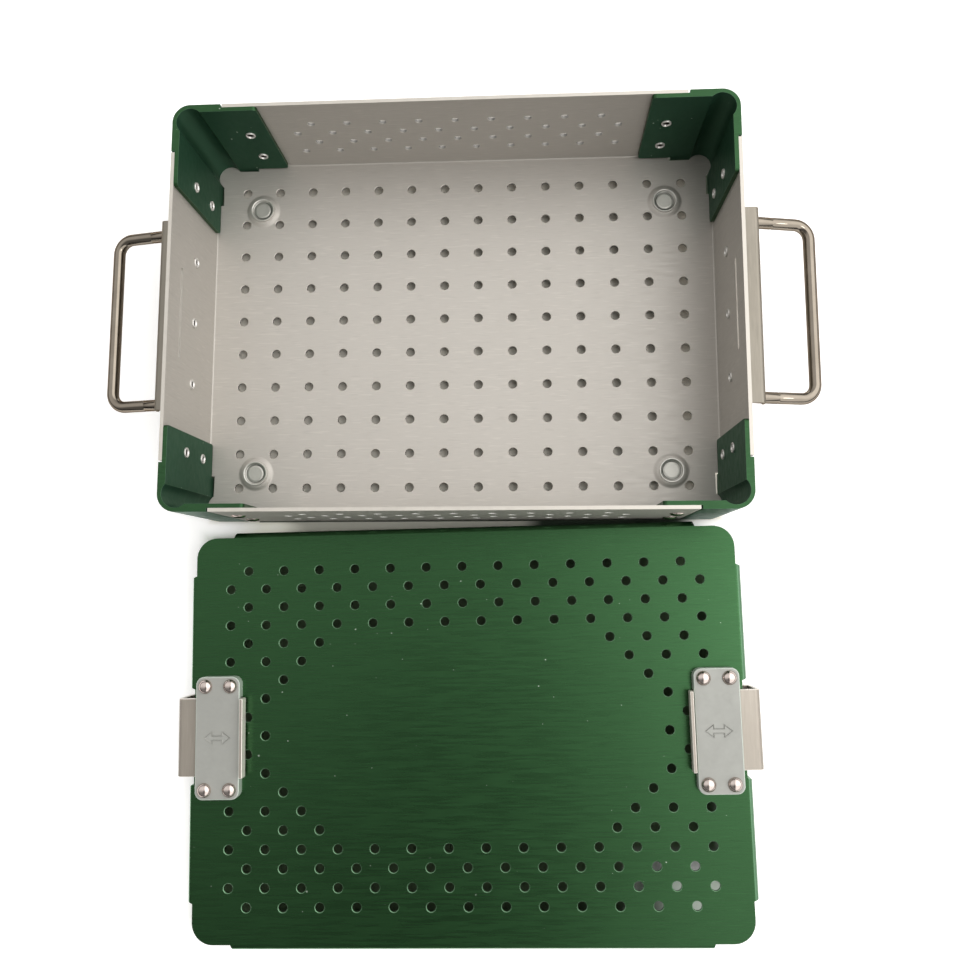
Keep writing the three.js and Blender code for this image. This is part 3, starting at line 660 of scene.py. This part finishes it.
def buildPost():
    inner = post["sheet"] + post["wing"]
    middle = post["sheet"] + post["wing"] / 2
    centre, reach, steps = post["radius"], post["headReach"], post["arcSteps"]
    low, high = post["wingLow"], tray["rimHeight"]
    cusp = degrees(asin((centre - inner) / post["groove"]))
    end = [(reach, y) for y in (0, post["sheet"], middle, inner)]
    outline = [(y, x) for x, y in reversed(end)] + arc(centre, centre, post["radius"], 180, 270, steps)
    outline += end + arc(centre, centre, post["groove"], 360 - cusp, 90 + cusp, 2 * steps)
    bm = bmesh.new()
    face = bm.faces.new([bm.verts.new((x, y, tray["standHeight"])) for x, y in outline])
    for rise in (low - tray["standHeight"], high - low):
        geom = bmesh.ops.extrude_face_region(bm, geom=[face])["geom"]
        bmesh.ops.translate(bm, vec=(0, 0, rise), verts=vertsOf(geom))
        face = next(item for item in geom if isinstance(item, bmesh.types.BMFace))
    hidden = []  # The ends of the bead that the wings close
    for side in bm.faces:
        spot = side.calc_center_median()
        along, across = max(spot.x, spot.y), min(spot.x, spot.y)
        isUpper = abs(spot.z - (low + high) / 2) < tolerance
        if isUpper and abs(along - reach) < tolerance and across > post["sheet"]:
            hidden.append(side)
    bmesh.ops.delete(bm, geom=hidden, context="FACES_ONLY")
    far, corner, steps = post["wingReach"], post["wingCorner"], post["wingSteps"]
    wing = [(reach, low)] + arc(far - corner, low + corner, corner, -90, 0, steps)
    wing += arc(far - corner, high - corner, corner, 0, 90, steps) + [(reach, high)]
    holes = [(tray["rivetInset"], floorTop + level, *tray["rivetHole"]) for level in tray["rivetLevels"]]
    for place in (moved(0, middle, 0) @ tipUp, moved(middle, 0, 0) @ standUp):
        mergeInto(bm, cutSheet(wing, holes, post["wing"], (0,)), place)
    for side in bm.faces:
        if side.calc_center_median().z > high - tolerance:
            side.material_index = 1
    return bm


for name in cornerSigns:
    place = trayPlace @ cornerPlace(name)
    finishes = (greenPost, greenCut, greenRimHighlight)
    addPiece(buildPost(), "cornerPost_" + name, place, finishes, "tray", ["corner_post_" + name],
             post["rounding"], roundingFinish=2)
print("corner posts built")

# Tubular rivets: a low dome outside, a rolled tail with an open bore inside
rivet = {
    "head": 3.05,
    "shank": 1.6,
    "bore": 1.42,
    "boreLevel": -1,  # Below it the inside is painted dark as shade
    "facets": 32,
}
# Shares of the head's radius and height
rivetDome = ((0, 1), (0.22, 0.985), (0.42, 0.93), (0.6, 0.83), (0.76, 0.67), (0.88, 0.47), (0.96, 0.26),
             (1, 0.1), (1, 0))
# Radii of the rolled tail, and depths below the sheets that the rivet holds
rivetRoll = ((2.19, 0), (2.25, 0.12), (2.23, 0.36), (2.13, 0.62), (1.97, 0.74), (1.81, 0.72), (1.75, 0.5),
             (1.52, 0.1), (1.42, -0.3))


def addRivet(name, place, grip, holder, body, node):
    shank, boreTop = rivet["shank"], holder["rivetBore"]
    profile = [(rivet["head"] * r, holder["rivetHead"] * z) for r, z in rivetDome]
    profile += [(shank, 0), (shank, -grip)] + [(r, -grip - z) for r, z in rivetRoll]
    bm = turnedPiece(profile + [(rivet["bore"], boreTop), (0, boreTop)], rivet["facets"])
    # Faces inside the bore are painted dark as shade
    for face in bm.faces:
        spot = face.calc_center_median()
        if spot.z < rivet["boreLevel"] and spot.xy.length < shank:
            face.material_index = 1
        elif spot.z < -grip:
            face.material_index = 2
    # The rolled tail takes a painted highlight
    addPiece(bm, name, place, (brightRivet, rivetBore, rivetTailHighlight), body, [node])


for name in cornerSigns:
    number = 0
    for level in tray["rivetLevels"]:
        long = moved(tray["rivetInset"], 0, floorTop + level) @ tipUp
        end = moved(0, tray["rivetInset"], floorTop + level) @ tipIn
        for place in (long, end):
            number += 1
            addRivet(f"postRivet_{name}_{number}", trayPlace @ cornerPlace(name) @ place,
                     post["sheet"] + post["wing"], post, "tray", f"post_rivet_{name}_{number}")

# Feet: turned studs, rolled over inside the tray as a ring
foot = {
    "profile": (
        (0, 0), (4.7, 0), (5.3, 0.18), (5.6, 0.7), (5.6, 5.0), (3.6, 5.0), (3.6, 6.5), (5.5, 6.5),
        (5.58, 6.6), (5.58, 7.15), (5.54, 7.36), (5.42, 7.5), (5.22, 7.52), (5.04, 7.44), (4.86, 7.25),
        (4.76, 6.95), (4.6, 6.68), (4.2, 6.48), (3.8, 6.46), (3.5, 6.58), (3.2, 6.66), (2.6, 6.6), (0, 6.58),
    ),
    "facets": 48,
    "rimLevel": 6.7,
    "rimRadius": 4.85,
}
for name, (x, y) in cornerSigns.items():
    bm = turnedPiece(foot["profile"], foot["facets"])
    # The top of the rim is painted with a highlight
    for face in bm.faces:
        spot = face.calc_center_median()
        if spot.z > foot["rimLevel"] and spot.xy.length > foot["rimRadius"]:
            face.material_index = 1
    place = trayPlace @ moved(*footSpot(x, y), 0)
    addPiece(bm, "foot_" + name + "_turned", place, (satinFoot, footRimHighlight), "tray", ["foot_" + name])
print("rivets and feet built")

# Brackets and handles
bracket = {
    "sheet": 1.2,
    "bend": 0.8,
    "bendSteps": 6,
    "length": 84.6,
    "height": 28.0,
    "base": 11.5,
    "depth": 9.6,
    "lip": 2.2,
    "pivot": (4.1, 21.0),
    "knuckle": (2.8, 4.0, 4.5, 31.95),  # Bore, radius, width and distance from the middle
    "knuckleEdge": 0.3,
    "knuckleFacets": 32,
    "rivetLevel": 14.0,
    "rivetHead": 1.1,
    "rivetBore": -1.2,
    "rounding": 0.15,
}
handle = {
    "wire": 2.5,
    "facets": 32,
    "endChamfer": 0.35,
    "stub": 6.0,
    "stubStart": -28.5,
    "stubBend": 4.0,
    "bend": 6.5,
    "arm": 38.5,
    "reach": 30.3,
    "mark": 8.6,
    "markDepth": 0.14,
    "markWidth": 0.35,
    "markSlope": 0.3,
    "droop": 12.0,
    "bendSteps": 10,
}


def buildBracket():
    sheet, bend, depth, height = bracket["sheet"], bracket["bend"], bracket["depth"], bracket["height"]
    corner = sheet + bend
    moves = [(height - corner, -90), (depth - 2 * corner, -90), (bracket["lip"], 0)]
    bm = foldedStrip((sheet / 2, 0), 90, sheet, bend, moves, bracket["length"], bracket["bendSteps"])
    x, z = bracket["pivot"]
    bore, outer, width, at = bracket["knuckle"]
    edge, half = bracket["knuckleEdge"], width / 2
    ring = [(bore, edge - half), (bore + edge, -half), (outer, -half), (outer, half), (bore + edge, half),
            (bore, half - edge)]
    for side in (-1, 1):
        place = moved(x, side * at, z) @ tipUp
        mergeInto(bm, turnedPiece(ring, bracket["knuckleFacets"], True), place)
    return bm


# Round wire in X and Y. Each move goes straight, sets the ring's size and then turns left.
def bentWire(start, heading, size, moves):
    bm = bmesh.new()
    angle = radians(heading)
    middle = Vector((*start, 0))
    facing = Matrix.Translation(middle) @ turned(angle) @ tipOut
    made = bmesh.ops.create_circle(bm, cap_ends=True, segments=handle["facets"], radius=size, matrix=facing)
    ring = list({edge for vert in made["verts"] for edge in vert.link_edges})
    for straight, radius, turn, bend in moves:
        forward = Vector((cos(angle), sin(angle), 0)) * straight
        ring, verts = pullEdges(bm, ring, forward)
        middle += forward
        share = radius / size
        bmesh.ops.scale(bm, vec=(share, share, share), space=Matrix.Translation(-middle), verts=verts)
        size = radius
        if turn:
            across = Vector((-sin(angle), cos(angle), 0)) * bend
            spun = bmesh.ops.spin(bm, geom=ring + verts, cent=middle + across, axis=(0, 0, 1),
                                  angle=radians(turn), steps=handle["bendSteps"])
            ring = edgesOf(spun["geom_last"])
            middle = middle + across - turned(radians(turn)) @ across
            angle += radians(turn)
    bmesh.ops.contextual_create(bm, geom=ring)
    return bm


def buildHandle():
    full, bend, stubBend = handle["wire"], handle["bend"], handle["stubBend"]
    chamfer, mark = handle["endChamfer"], handle["mark"]
    stub = handle["stub"] - chamfer
    slope, width = handle["markSlope"], handle["markWidth"]
    tight = full - handle["markDepth"]
    arm = handle["reach"] - stubBend - bend - mark - 2 * slope - width
    grip = 2 * (handle["arm"] - bend)
    groove = [(slope, tight, 0, 0), (width, tight, 0, 0), (slope, full, 0, 0)]
    moves = [(chamfer, full, 0, 0), (stub, full, 90, stubBend), (mark, full, 0, 0)] + groove
    moves += [(arm, full, 90, bend), (grip, full, 90, bend), (arm, full, 0, 0)] + groove
    moves += [(mark, full, 90, stubBend), (stub, full, 0, 0), (chamfer, full - chamfer, 0, 0)]
    return bentWire((0, handle["stubStart"]), -90, full - chamfer, moves)


for side, turn in mirroredSides.items():
    web = moved(trayHalf[0], 0, floorTop + bracket["base"])
    place = trayPlace @ turned(turn) @ web
    addPiece(buildBracket(), "bracket_" + side, place, (rolledSteel, rolledSteel), "tray",
             ["handle_bracket_" + side], bracket["rounding"])
    for i, y in enumerate(tray["bracketRivets"]):
        spot = moved(bracket["sheet"], y, bracket["rivetLevel"]) @ tipOut
        addRivet(f"bracketRivet_{side}_{i + 1}", place @ spot, tray["sheet"] + bracket["sheet"], bracket,
                 "tray", f"bracket_rivet_{side}_{i + 1}")
    x, z = bracket["pivot"]
    hinge = moved(x, 0, z) @ Matrix.Rotation(radians(handle["droop"]), 4, "Y")
    addPiece(buildHandle(), "wireHandle_" + side, place @ hinge, (polishedWire,), "handle_" + side,
             ["handle_" + side])
print("brackets and handles built")

# Lid
lid = {
    "place": (2.8, -88.749, 0),
    "height": 16.0,
    "half": (119.7, 87.2),
    "corner": 9.2,
    "cornerSteps": 14,
    "hole": (2.0, 0.26, 28),
    "grid": (26, 18),
    "cell": 8.0,
    "fullRows": 4,
    "diagonalRows": 2,
    "diagonalReach": 6,
    "besideLatch": (3, 2, 1, 2),
    "longFlange": 102.8,
    "endFlange": (20.4, 70.3),
    "chamferSlope": 0.34375,
    "highlightNormals": (0.15, 0.98),
}
lidPlace = Matrix.Translation(lid["place"]) @ turned(lidTurn)


def lidHoles():
    columns, rows = lid["grid"]
    holes = []
    for row in range(rows + 1):
        inwards = min(row, rows - row) - lid["fullRows"]
        for column in range(columns + 1):
            fromEnd = min(column, columns - column)
            full = inwards < 0
            slanted = 0 <= inwards < lid["diagonalRows"] and fromEnd < lid["diagonalReach"] - inwards
            isMiddle = inwards >= lid["diagonalRows"]
            beside = isMiddle and fromEnd == lid["besideLatch"][inwards - lid["diagonalRows"]]
            if (row + column) % 2 and (full or slanted or beside):
                x, y = column - columns / 2, rows / 2 - row
                holes.append((x * lid["cell"], y * lid["cell"], *lid["hole"]))
    return holes


def lidFlange(length, isHighlighted):
    bm = bmesh.new()
    last = foldFrame(bm, length, tray["bendInner"], tray["sheet"], -pi / 2, tray["bendSteps"])
    bottom = pullEdges(bm, last, (0, 0, bendOuter - lid["height"]))[0]
    bmesh.ops.contextual_create(bm, geom=bottom)
    for vert in bm.verts:
        vert.co.y -= copysign(lid["chamferSlope"] * vert.co.x, vert.co.y)
    bmesh.ops.recalc_face_normals(bm, faces=bm.faces)
    # The right end's bend faces are painted with a highlight
    low, high = lid["highlightNormals"]
    for face in bm.faces:
        if isHighlighted and low < face.normal.z < high:
            face.material_index = 3
    return bm


def buildLidPanel():
    halfX, halfY = lid["half"]
    radius, steps = lid["corner"], lid["cornerSteps"]
    near, far = lid["endFlange"]
    long = lid["longFlange"]
    points = [(halfX, -far), (halfX, -near), (halfX, near), (halfX, far)]
    points += arc(halfX - radius, halfY - radius, radius, 0, 90, steps)
    longAt = len(points) + 1
    points += [(long, halfY), (-long, halfY)] + arc(radius - halfX, halfY - radius, radius, 90, 180, steps)
    openSides = [1, 3, longAt]
    openSides += [len(points) + i for i in openSides]
    outline = points + [(-x, -y) for x, y in points]
    holes = lidHoles()
    for side in (-1, 1):
        holes += [(side * bridge["centre"] + x, y, *tray["rivetHole"])
                  for x in bridge["rivetX"] for y in bridge["rivetY"]]
    bm = bmesh.new()
    top = lid["height"]
    sheet = moved(0, 0, top - tray["sheet"] / 2)
    mergeInto(bm, cutSheet(outline, holes, tray["sheet"], openSides), sheet)
    for i in range(4):
        if i % 2:
            place = moved(halfY, 0, top - bendOuter)
            mergeInto(bm, lidFlange(2 * long, False), turned(i * pi / 2) @ place)
        else:
            for side in (-1, 1):
                place = moved(halfX, side * (near + far) / 2, top - bendOuter)
                mergeInto(bm, lidFlange(far - near, i == 0), turned(i * pi / 2) @ place)
    addPiece(bm, "lidPanel", lidPlace, (green, greenEdgeHighlight, greenBore, greenBendHighlight), "lid", ["lid_panel"])


# Latches: a bridge plate on spacers, a folded slider under it, and a pressed arrow
bridge = {
    "centre": 108.0,
    "half": (9.75, 26.2),
    "corner": 3.5,
    "cornerSteps": 10,
    "sheet": 2.0,
    "lift": 2.4,
    "rivetX": (-5.5, 5.5),
    "rivetY": (-22, 22),
    "rivetHead": 2.0,
    "rivetBore": -3.0,
    "rounding": 0.45,
    "roundingSteps": 3,
}
slider = {
    "sheet": 1.5,
    "bend": 0.7,
    "bendSteps": 6,
    "width": 33.6,
    "start": (96.9, 23.0),
    "moves": ((4.35, 90), (26.15, -90), (13.0, -90), (2.9, 0)),
    "rounding": 0.3,
}
arrow = {
    "tip": 5.75,
    "barb": 2.15,
    "height": 2.8,
    "shaft": 1.0,
    "line": 0.8,
    "rise": 0.4,
    "sink": 0.04,
}


def roundedCorners(half, radius, steps):
    points = []
    for i, (x, y) in enumerate(((1, 1), (-1, 1), (-1, -1), (1, -1))):
        points += arc(x * (half[0] - radius), y * (half[1] - radius), radius, 90 * i, 90 * i + 90, steps)
    return points


# A raised line around an arrow with two heads
def buildArrow():
    tip, barb, high, shaft = arrow["tip"], arrow["barb"], arrow["height"], arrow["shaft"]
    right = [(barb, -shaft), (barb, -high), (tip, 0), (barb, high), (barb, shaft)]
    bm = bmesh.new()
    face = bm.faces.new([bm.verts.new((x, y, 0)) for x, y in right + [(-x, -y) for x, y in right]])
    half = arrow["line"] / 2
    for rise in (arrow["rise"], -arrow["rise"]):
        bmesh.ops.inset_region(bm, faces=[face], use_boundary=True, use_even_offset=True, thickness=half)
        bmesh.ops.translate(bm, vec=(0, 0, rise), verts=face.verts)
    outer = [edge for edge in bm.edges if edge.is_boundary]
    inner = list(face.edges)
    bmesh.ops.delete(bm, geom=[face], context="FACES_ONLY")
    bmesh.ops.bridge_loops(bm, edges=outer + inner)
    return bm


# Its lip's inward face is painted with a highlight, as are its cut sides and roundings
def buildSlider():
    bm = foldedStrip(slider["start"], -90, slider["sheet"], slider["bend"], slider["moves"], slider["width"],
                     slider["bendSteps"])
    for face in bm.faces:
        if abs(face.normal.x) > sideNormal and face.calc_center_median().x < slider["start"][0]:
            face.material_index = 1
    return bm


buildLidPanel()
print("lid panel built")
for side, turn in mirroredSides.items():
    base = lidPlace @ turned(turn) @ moved(bridge["centre"], 0, lid["height"])
    outline = roundedCorners(bridge["half"], bridge["corner"], bridge["cornerSteps"])
    holes = [(x, y, *tray["rivetHole"]) for x in bridge["rivetX"] for y in bridge["rivetY"]]
    middle = moved(0, 0, bridge["lift"] + bridge["sheet"] / 2)
    addPiece(cutSheet(outline, holes, bridge["sheet"]), "bridgePlate_" + side, base @ middle,
             (satinPlate, plateEdgeHighlight, plateEdgeHighlight), "lid", ["bridge_plate_" + side],
             bridge["rounding"], bridge["roundingSteps"], 1)
    top = bridge["lift"] + bridge["sheet"]
    place = base @ moved(0, 0, top - arrow["sink"])
    addPiece(buildArrow(), "pressedArrow_" + side, place, (satinPlate,), "lid")
    number = 0
    for y in bridge["rivetY"]:
        for x in bridge["rivetX"]:
            number += 1
            addRivet(f"bridgeRivet_{side}_{number}", base @ moved(x, y, top),
                     top + tray["sheet"], bridge, "lid", f"bridge_rivet_{side}_{number}")
    # The spacers take the plates' painted highlight
    for i in (1, 2):
        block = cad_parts[f"bridge_spacer_{side}_{i}"]
        block.data.materials.clear()
        block.data.materials.append(plateEdgeHighlight["material"])
    addPiece(buildSlider(), "latchSlider_" + side, lidPlace @ turned(turn), (sliderSteel, steelEdgeHighlight),
             "latch_" + side, ["latch_slider_" + side], slider["rounding"], roundingFinish=1)
print("latches built")

# Studio
camera = {
    "place": (0.0315, -0.02596, 0.4137),
    "right": (0.9984, -0.0009, -0.0558),
    "up": (0.0075, 0.9929, 0.1187),
    "lens": 33.56,
    "sensor": 36.0,
    "clip": (0.01, 20),
}
paper = {
    "size": 6.0,
    "colour": (0.98, 0.98, 0.975),
    "lift": 0.35,
}
# Painted shade for the ground seen through the slits at the tray's corners
cornerShade = (0.10, 0.12, 0.09)
# Ground painted with shade, and with one pool of light under the lid's front right corner, under and beside
# the tray and lid: middle, half size, soft edge and colour
paintedShadeAndLight = (
    ((0.0, 0.0915), (0.117, 0.085), 0.004, (0.98, 0.94, 0.85)),
    ((-0.030, 0.002), (0.062, 0.006), 0.020, (0.80, 0.79, 0.70)),
    ((-0.0225, -0.0888), (0.0905, 0.079), 0.012, (0.17, 0.24, 0.14)),
    ((0.055, -0.074), (0.055, 0.064), 0.008, (0.17, 0.24, 0.14)),
    ((0.068, 0.002), (0.030, 0.006), 0.012, (0.05, 0.07, 0.05)),
    ((0.0975, -0.1622), (0.0185, 0.0092), 0.004, (0.62, 0.69, 0.61)),
    ((0.0, 0.0087), (0.095, 0.0040), 0.0006, (0.05, 0.06, 0.045)),
    ((0.0, 0.192), (0.105, 0.0105), 0.010, (0.27, 0.26, 0.235)),
    ((-0.1170, 0.1665), (0.002, 0.009), 0.0015, cornerShade),
    ((-0.1065, 0.1765), (0.010, 0.002), 0.0015, cornerShade),
    ((0.1165, 0.1665), (0.002, 0.009), 0.0015, cornerShade),
    ((0.1065, 0.1765), (0.010, 0.002), 0.0015, cornerShade),
    ((-0.1170, 0.0195), (0.002, 0.009), 0.0015, cornerShade),
    ((-0.1060, 0.0095), (0.010, 0.002), 0.0015, cornerShade),
)
# Ground under and between tray and lid, whose shade isn't lifted: middle, half size and soft edge
shelter = (
    ((0.0, 0.0915), (0.117, 0.085), 0.004),
    ((-0.0235, -0.0888), (0.0895, 0.083), 0.006),
    ((0.054, -0.0784), (0.054, 0.0626), 0.016),
    ((0.071, -0.154), (0.011, 0.008), 0.014),
    ((0.009, 0.002), (0.080, 0.004), 0.018),
)
# Four numbers are a ramp: where it starts and ends along its axis, and its level at both
sky = {
    "colour": (1.0, 0.985, 0.965),
    "side": (-0.46, 0.14, 0.25, 1.0),
    "far": (0.45, 0.9, 1.0, 0.7),
    "panel": (0.0, 0.16, 0.0, 1.34),
    "horizon": (0.12, 0.46, 0.12, 1.0),
    "shadeMiddle": (-0.05, -0.28),
    "shadeSize": (0.17, 0.25),
    "shade": (0.2, 1.7, 0.42, 1.0),
}
lamp = {
    "place": (0.62, -0.10, 1.25),
    "size": 0.30,
    "power": 1.2,
}


# One within a rectangle of the floor, falling to zero over its soft edge
def within(tree, spot, middle, half, soft):
    beyond = []
    for axis in (0, 1):
        offset = combined(tree, "ABSOLUTE", combined(tree, "SUBTRACT", spot[axis], middle[axis]))
        beyond.append(combined(tree, "SUBTRACT", offset, half[axis]))
    return ramped(tree, combined(tree, "MAXIMUM", *beyond), 0.0, soft, 1.0, 0.0, "SMOOTHSTEP")


# White paper, painted with shade and light near the tray and lid, whose shade is lifted where the camera or a
# reflection sees it in the open
def whitePaper():
    material = bpy.data.materials.new("whitePaper")
    tree = emptyTree(material)
    output = newNode(tree, "ShaderNodeOutputMaterial")
    matt = newNode(tree, "ShaderNodeBsdfDiffuse")
    spot = splitAxes(tree, newNode(tree, "ShaderNodeTexCoord").outputs["Object"])
    ground = paper["colour"]
    # The painted shade and light go into the paper's colour
    for middle, half, soft, colour in paintedShadeAndLight:
        ground = blended(tree, within(tree, spot, middle, half, soft), ground, colour)
    wire(tree, ground, matt.inputs["Color"])
    rays = newNode(tree, "ShaderNodeLightPath")
    seen = rays.outputs["Is Camera Ray"]
    for kind in ("Is Glossy Ray", "Is Transmission Ray"):
        seen = combined(tree, "MAXIMUM", seen, rays.outputs[kind])
    for middle, half, soft in shelter:
        seen = combined(tree, "SUBTRACT", seen, within(tree, spot, middle, half, soft))
    seen = combined(tree, "MAXIMUM", seen, 0.0)
    lift = newNode(tree, "ShaderNodeEmission")
    wire(tree, ground, lift.inputs["Color"])
    wire(tree, combined(tree, "MULTIPLY", seen, paper["lift"]), lift.inputs["Strength"])
    both = newNode(tree, "ShaderNodeAddShader")
    wire(tree, matt.outputs[0], both.inputs[0])
    wire(tree, lift.outputs[0], both.inputs[1])
    wire(tree, both.outputs[0], output.inputs["Surface"])
    return material


def addFloor():
    bm = bmesh.new()
    bmesh.ops.create_grid(bm, x_segments=1, y_segments=1, size=paper["size"])
    mesh = bpy.data.meshes.new("studioFloor")
    bm.to_mesh(mesh)
    bm.free()
    mesh.materials.append(whitePaper())
    studioFloor = newObject("studioFloor", mesh)


# A brighter right half, a darker front, back and horizon, and a dark patch overhead
def addSky():
    world = bpy.data.worlds.new("studioSky")
    bpy.context.scene.world = world
    tree = emptyTree(world)
    output = newNode(tree, "ShaderNodeOutputWorld")
    light = newNode(tree, "ShaderNodeBackground", Color=(*sky["colour"], 1))
    axes = splitAxes(tree, newNode(tree, "ShaderNodeTexCoord").outputs["Generated"])
    level = {}
    for name, axis in (("side", "Y"), ("far", "Y"), ("panel", "X"), ("horizon", "Z")):
        level[name] = ramped(tree, axes[axis], *sky[name], "SMOOTHSTEP")
    offset = []
    for axis, middle, size in zip("XY", sky["shadeMiddle"], sky["shadeSize"]):
        away = combined(tree, "DIVIDE", combined(tree, "SUBTRACT", axes[axis], middle), size)
        offset.append(combined(tree, "MULTIPLY", away, away))
    shade = ramped(tree, combined(tree, "ADD", *offset), *sky["shade"], "SMOOTHSTEP")
    fade = combined(tree, "MULTIPLY", combined(tree, "MULTIPLY", level["far"], level["horizon"]), shade)
    whole = combined(tree, "MULTIPLY", combined(tree, "ADD", level["side"], level["panel"]), fade)
    wire(tree, whole, light.inputs["Strength"])
    wire(tree, light.outputs[0], output.inputs["Surface"])


def addLamp():
    light = bpy.data.lights.new("keyPanel", "AREA")
    light.shape = "DISK"
    light.size = lamp["size"]
    light.energy = lamp["power"]
    keyPanel = newObject("keyPanel", light)
    keyPanel.location = lamp["place"]
    keyPanel.rotation_mode = "QUATERNION"
    keyPanel.rotation_quaternion = (-Vector(lamp["place"])).to_track_quat("-Z", "Y")


def addCamera():
    right = Vector(camera["right"]).normalized()
    back = right.cross(Vector(camera["up"])).normalized()
    turn = Matrix((right, back.cross(right), back)).transposed().to_4x4()
    view = bpy.data.cameras.new("photoCamera")
    view.sensor_fit = "HORIZONTAL"
    view.sensor_width = camera["sensor"]
    view.lens = camera["lens"]
    view.clip_start, view.clip_end = camera["clip"]
    photoCamera = newObject("photoCamera", view)
    photoCamera.matrix_world = Matrix.Translation(camera["place"]) @ turn
    bpy.context.scene.camera = photoCamera
    bpy.context.scene.view_settings.view_transform = "Standard"


addFloor()
addSky()
addLamp()
addCamera()
print("studio ready")
